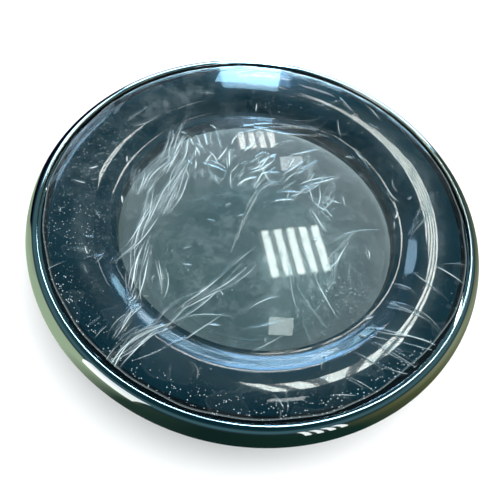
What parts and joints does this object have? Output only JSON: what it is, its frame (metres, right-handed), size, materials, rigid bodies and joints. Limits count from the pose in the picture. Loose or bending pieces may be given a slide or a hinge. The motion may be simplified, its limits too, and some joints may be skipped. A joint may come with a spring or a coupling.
{
  "type": "washing machine door",
  "caption": "Round front-loader porthole door: chrome ring, tinted dished window under peel-off film, deep glass bowl, rear frame, hinge and latch hook.",
  "frame": {"origin": "centre of the glass bowl's flat bottom, on the surface that the door lies on", "axes": "+Z out through the front of the door, -X towards the hinge, +X towards the latch, Y along the hinge pin"},
  "size_m": [0.4699, 0.47, 0.104],
  "materials": {
    "chrome_trim": "bright electroplated chrome on moulded plastic",
    "tinted_window": "teal smoked transparent plastic, polished",
    "clear_film": "thin clear peel-off film, wrinkled",
    "bowl_glass": "clear pressed glass, polished",
    "dark_plastic": "dark satin moulded plastic",
    "grey_plastic": "mid grey satin moulded plastic",
    "seal_rubber": "soft black rubber",
    "pad_rubber": "firm black rubber",
    "hinge_metal": "die-cast metal, tumbled",
    "plate_steel": "zinc-plated pressed steel",
    "screw_steel": "zinc-plated, satin",
    "spring_steel": "bright spring steel",
    "bush_plastic": "natural acetal"
  },
  "bodies": {
    "door": {"trim_ring": "chrome_trim", "trim_clips": "spring_steel", "window_cover": "tinted_window", "cover_seal": "seal_rubber", "protective_film": "clear_film", "front_frame": "dark_plastic", "bowl_gasket": "seal_rubber", "glass_bowl": "bowl_glass", "rear_frame": "grey_plastic", "frame_screws": "screw_steel", "bumper_pads": "pad_rubber", "hinge_arm": "hinge_metal", "hinge_backplate": "plate_steel", "hinge_arm_screws": "screw_steel", "hinge_bushes": "bush_plastic", "latch_base": "plate_steel", "latch_pin": "plate_steel", "latch_spring": "spring_steel", "latch_cover": "grey_plastic", "latch_screws": "screw_steel"},
    "cabinet_bracket": {"hinge_bracket": "hinge_metal", "hinge_pin": "plate_steel", "hinge_pin_clip": "spring_steel"},
    "latch": {"latch_hook": "hinge_metal"}
  },
  "joints": [
    {"name": "door_hinge", "type": "hinge", "parent": "door", "child": "cabinet_bracket", "pos_m": [-0.221, 0, 0.062], "axis": [0, 1, 0], "range_deg": [-90, 80]},
    {"name": "latch_pivot", "type": "hinge", "parent": "door", "child": "latch", "pos_m": [0.2, 0, 0.074], "axis": [0, 1, 0], "range_deg": [0, 12], "stiffness_Nm_per_rad": 0.5, "springref_deg": -17.19, "deforming": ["latch_spring"]}
  ]
}
